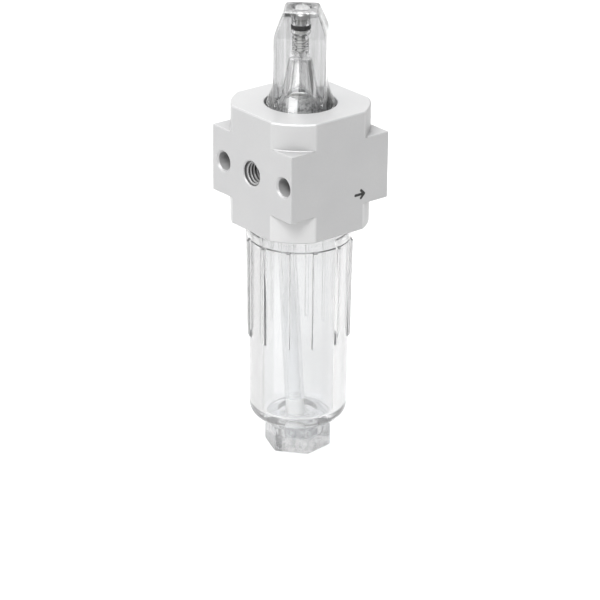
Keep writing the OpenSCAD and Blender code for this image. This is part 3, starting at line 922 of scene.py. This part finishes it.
def make_fillets():
    """The small roundings where the ledges of the port band meet the turned corners."""
    for level, up, label in ((7.0, 1, "upper"), (-7.0, -1, "lower")):
        for k in range(4):
            verts, faces = [], []
            steps = 40
            for i in range(steps + 1):
                a = 27.6 + (62.4 - 27.6) * i / steps
                room = 12.5 / math.cos(math.radians(a if a < 45 else 90 - a)) - 14.0 - 0.06
                w = max(0.02, min(0.26, room))
                for j in range(7):
                    # concave side first, then the hidden corner
                    s = math.radians(15 * j)
                    r = 14.0 - 0.03 + (w + 0.03) * (1 - math.sin(s))
                    z = up * (-0.03 + (w + 0.03) * (1 - math.cos(s)))
                    b = math.radians(a + 90 * k)
                    verts.append((r * math.cos(b), r * math.sin(b), PORT_Z + level + z))
                b = math.radians(a + 90 * k)
                verts.append((13.95 * math.cos(b), 13.95 * math.sin(b), PORT_Z + level - 0.05 * up))
                if i:
                    p, q = (i - 1) * 8, i * 8
                    for j in range(8):
                        n = (j + 1) % 8
                        faces.append((p + j, p + n, q + n, q + j))
            faces.append(tuple(range(8)))
            faces.append(tuple(range(steps * 8 + 7, steps * 8 - 1, -1)))
            add_piece("ledge_fillet_%s_%d" % (label, k + 1), verts, faces, "block", "anodised_aluminium", 35.0)


make_fillets()


# ---------------------------------------------------------------- floor and light
def make_floor():
    me = bpy.data.meshes.new("floor")
    bm = bmesh.new()
    bmesh.ops.create_grid(bm, x_segments=8, y_segments=8, size=4.0)
    bm.to_mesh(me)
    bm.free()
    ob = bpy.data.objects.new("floor", me)
    scene.collection.objects.link(ob)
    t = Tree("floor_white")
    c = t.noise(6.0, 3.0, 0.5)
    t.set(Base_Color=t.mix(t.range(c, 0.3, 0.7, 0.0, 1.0), grey(0.67), grey(0.69)), Roughness=0.9)
    t.set(Normal=t.bump(t.noise(900.0, 2.0), 0.05, 0.0002))
    me.materials.append(t.mat)
    return ob


floor = make_floor()
floor.location.z = -0.00002


def area(name, place, aim, size, power, colour=(1, 1, 1)):
    d = bpy.data.lights.new(name, "AREA")
    d.shape = "RECTANGLE"
    d.size, d.size_y = size
    d.energy = power
    d.color = colour
    ob = bpy.data.objects.new(name, d)
    scene.collection.objects.link(ob)
    ob.matrix_world = Matrix.Translation(Vector(place)) @ (Vector(aim) - Vector(place)).to_track_quat("-Z", "Y").to_matrix().to_4x4()
    return ob


area("key_top", (-0.05, 0.15, 1.2), (0, 0, 0.03), (1.5, 1.5), 13.6)
area("key_left", (-0.72, -0.47, 1.10), (0, 0, 0.05), (0.5, 0.5), 14.0)

area("fill_front", (-0.98, -0.30, 0.80), (0, 0, 0.05), (0.4, 0.4), 2.2)

# a soft studio: bright behind the object and above it, dim towards the front right
world = bpy.data.worlds.new("studio")
scene.world = world
world.use_nodes = True
wn = world.node_tree
bg = wn.nodes["Background"]
where = wn.nodes.new("ShaderNodeTexCoord").outputs["Generated"]
split = wn.nodes.new("ShaderNodeSeparateXYZ")
wn.links.new(where, split.inputs[0])


def wmath(op, p, q=0.0, clamp=False):
    n = wn.nodes.new("ShaderNodeMath")
    n.operation = op
    n.use_clamp = clamp
    for i, v in enumerate((p, q)):
        if isinstance(v, (int, float)):
            n.inputs[i].default_value = v
        else:
            wn.links.new(v, n.inputs[i])
    return n.outputs[0]


side = wmath("ADD", wmath("MULTIPLY", split.outputs[0], -0.10), wmath("MULTIPLY", split.outputs[1], 0.90))
low = wmath("MINIMUM", wmath("MAXIMUM", wmath("ADD", wmath("MULTIPLY", side, 0.90), 0.45), 0.165), 1.08)
up = wn.nodes.new("ShaderNodeMapRange")
up.interpolation_type = "SMOOTHSTEP"
wn.links.new(split.outputs[2], up.inputs["Value"])
up.inputs["From Min"].default_value = 0.30
up.inputs["From Max"].default_value = 0.90
blend = wmath("ADD", wmath("MULTIPLY", low, wmath("SUBTRACT", 1.0, up.outputs["Result"])), wmath("MULTIPLY", up.outputs["Result"], 1.12))
wn.links.new(blend, bg.inputs["Strength"])
bg.inputs["Color"].default_value = (1, 1, 1, 1)
